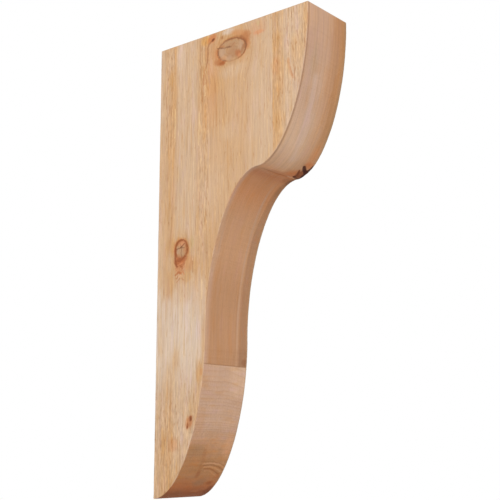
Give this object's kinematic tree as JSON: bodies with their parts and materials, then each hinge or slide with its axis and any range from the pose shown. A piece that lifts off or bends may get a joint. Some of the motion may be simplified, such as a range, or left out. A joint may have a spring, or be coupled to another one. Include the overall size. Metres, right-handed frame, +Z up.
{
  "type": "corbel bracket",
  "caption": "Solid timber corbel bracket with a flat back and top and a sawn front of swelling and hollow curves, built in against a wall under a beam, shelf or eave.",
  "frame": {"origin": "middle of the flat back, where the bracket meets the wall", "axes": "+X across the thickness, +Y into the wall with the front facing -Y, +Z up"},
  "size_m": [0.089, 0.265, 0.6366],
  "materials": {
    "timber": "unfinished softwood, rough-sawn sides and a smoother sawn front, matt"
  },
  "bodies": {
    "root": {"bracket": "timber"}
  },
  "joints": []
}
